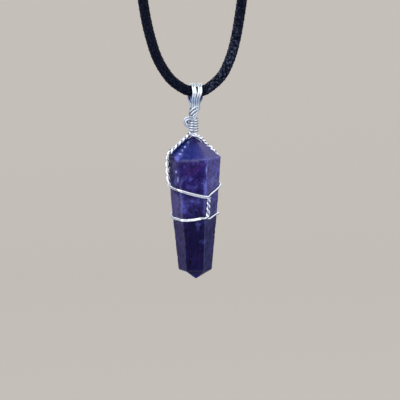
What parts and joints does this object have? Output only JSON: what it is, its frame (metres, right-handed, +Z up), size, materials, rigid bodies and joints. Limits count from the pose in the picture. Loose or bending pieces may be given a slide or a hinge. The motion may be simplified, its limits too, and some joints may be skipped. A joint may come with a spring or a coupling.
{
  "type": "amethyst wire wrap necklace",
  "caption": "Hanging necklace: a six-sided amethyst point held in a silver wire wrap, with a wire bail that swings on a closed black braided cord.",
  "frame": {"origin": "the place where the necklace hangs, under the middle of the closed clasp", "axes": "+Z up, the front of the stone towards -Y, +X to the right as seen from the front, the cord's loop in the XZ plane"},
  "size_m": [0.059, 0.0128, 0.2253],
  "materials": {
    "braided_cord": "round braid of waxed black yarn, glossy",
    "clasp_metal": "plain turned barrel, satin",
    "amethyst": "polished deep violet quartz with pale veils and rubbed edges",
    "silver_wire": "bright silver round wire, hand bent"
  },
  "bodies": {
    "loop": {"cord": "braided_cord", "clasp": "clasp_metal"},
    "pendant": {"bail": "silver_wire", "neck_wrap": "silver_wire", "stone": "amethyst", "left_twist": "silver_wire", "right_twist": "silver_wire", "upper_band": "silver_wire", "front_twist": "silver_wire", "lower_band": "silver_wire"}
  },
  "joints": [
    {"name": "pendant_swing", "type": "hinge", "parent": "loop", "child": "pendant", "pos_m": [0, 0, -0.171], "axis": [1, 0, 0], "range_deg": [-90, 90]}
  ]
}
